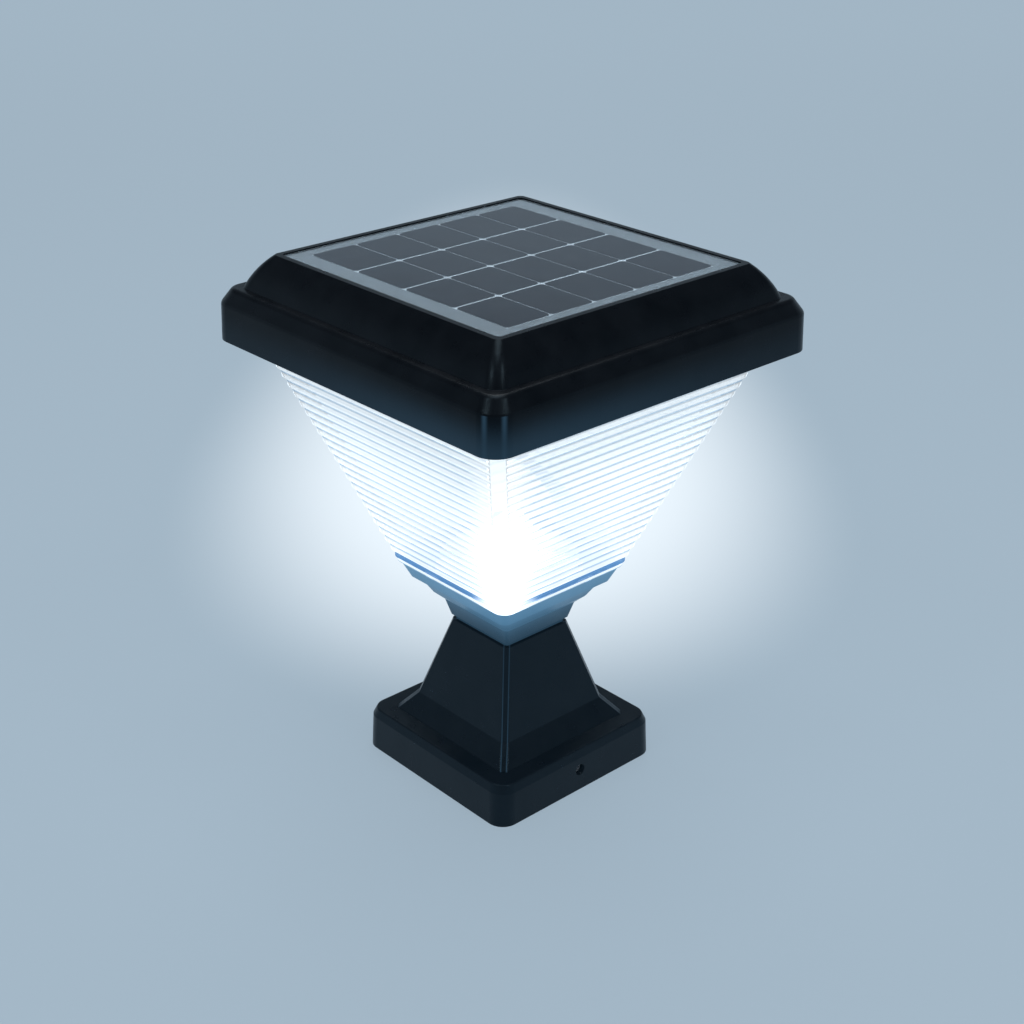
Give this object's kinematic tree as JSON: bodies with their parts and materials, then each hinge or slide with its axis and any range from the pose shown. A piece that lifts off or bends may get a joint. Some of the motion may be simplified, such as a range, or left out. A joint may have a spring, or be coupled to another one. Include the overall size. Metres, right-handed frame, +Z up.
{
  "type": "deck post cap light",
  "caption": "Solar post cap light: square lid with a flush solar panel, ribbed clear inverted-pyramid shade, stepped neck, flared pedestal and a cap that clamps over a post.",
  "frame": {"origin": "centre of the base cap's bottom edge, on the surface it would stand on", "axes": "+Z up the lamp's centre line; X and Y square to its faces, +X through the right set screw, +Y to the side with the power button"},
  "size_m": [0.2, 0.2, 0.2671],
  "materials": {
    "black_plastic": "satin",
    "clear_plastic": "clear",
    "frosted_plastic": "frosted",
    "white_plastic": "gloss",
    "solar_cell": "satin",
    "solar_backsheet": "matte",
    "adhesive": "matte",
    "seal_rubber": "matte",
    "screw_steel": "satin",
    "brass": "satin",
    "circuit_board": "satin",
    "white_board": "satin",
    "led": "gloss",
    "battery_wrap": "satin",
    "component_black": "satin",
    "button_rubber": "matte"
  },
  "bodies": {
    "root": {"base_cap": "black_plastic", "set_screw_nuts": "brass", "pedestal": "black_plastic", "neck": "black_plastic", "shade": "clear_plastic", "reflector_cone": "white_plastic", "reflector_screw": "screw_steel", "top_cover": "black_plastic", "panel_adhesive": "adhesive", "panel_backsheet": "solar_backsheet", "panel_face_sheet": "clear_plastic", "solar_cells": "solar_cell", "under_tray": "white_plastic", "lid_seal": "seal_rubber", "led_board": "white_board", "led_chips": "led", "led_diffuser": "frosted_plastic", "battery_cell": "battery_wrap", "battery_holder": "component_black", "battery_contacts": "screw_steel", "control_board": "circuit_board", "board_components": "component_black", "board_screws": "screw_steel", "switch_body": "component_black", "switch_bezel": "screw_steel", "pedestal_screws": "screw_steel", "neck_screws": "screw_steel", "shade_screws": "screw_steel", "head_screws": "screw_steel", "led_board_screws": "screw_steel"},
    "set_screw_right": {"set_screw_right": "screw_steel"},
    "set_screw_left": {"set_screw_left": "screw_steel"},
    "power_button": {"power_button": "button_rubber"}
  },
  "joints": [
    {"name": "set_screw_right_travel", "type": "slide", "parent": "root", "child": "set_screw_right", "axis": [-1, 0, 0], "range_m": [0, 0.0035]},
    {"name": "set_screw_left_travel", "type": "slide", "parent": "root", "child": "set_screw_left", "axis": [1, 0, 0], "range_m": [0, 0.0035]},
    {"name": "power_button_press", "type": "slide", "parent": "root", "child": "power_button", "axis": [0, 0, 1], "range_m": [0, 0.0012], "stiffness_N_per_m": 800, "springref_m": -0.0006}
  ]
}
